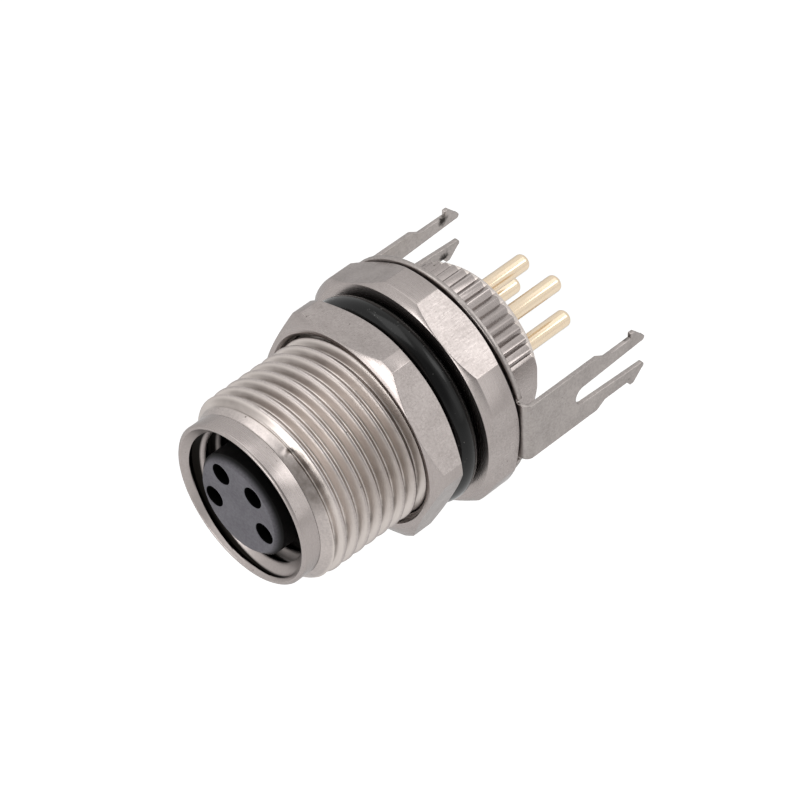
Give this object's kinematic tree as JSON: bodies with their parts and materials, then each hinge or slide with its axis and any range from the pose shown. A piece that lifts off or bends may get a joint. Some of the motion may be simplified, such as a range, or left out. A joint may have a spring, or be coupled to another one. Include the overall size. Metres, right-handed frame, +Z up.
{
  "type": "circular sensor panel mount connector",
  "caption": "Round female panel receptacle: threaded nickel barrel with hex flange, nut and seal ring, knurled rear end, shield clip with board legs and gilt solder tails.",
  "frame": {"origin": "centre of the flange face that bears on the panel, on the connector's axis", "axes": "mating mouth toward -Y, solder tails toward +Y, the two clip legs on the X axis, +Z up with the wider gap between the contacts below"},
  "size_m": [0.0128, 0.0206, 0.0128],
  "materials": {
    "nickel_body": "satin nickel plate on turned brass",
    "nickel_nut": "satin nickel plate on turned brass",
    "nickel_sheet": "dull nickel plate on spring bronze sheet",
    "black_rubber": "smooth matte",
    "dark_insulator": "fine moulded matte",
    "rear_insulator": "moulded matte",
    "gilt_contact": "pale gold plate"
  },
  "bodies": {
    "connector": {"body": "nickel_body", "panel_seal": "black_rubber", "shield_clip": "nickel_sheet", "contact_carrier": "dark_insulator", "insert_seal": "black_rubber", "contact_retainer": "rear_insulator", "contact_1": "gilt_contact", "contact_2": "gilt_contact", "contact_3": "gilt_contact", "contact_4": "gilt_contact"},
    "nut": {"hex_nut": "nickel_nut"}
  },
  "joints": [
    {"name": "nut_travel", "type": "slide", "parent": "connector", "child": "nut", "axis": [0, -1, 0], "range_m": [0, 0.0095]}
  ]
}
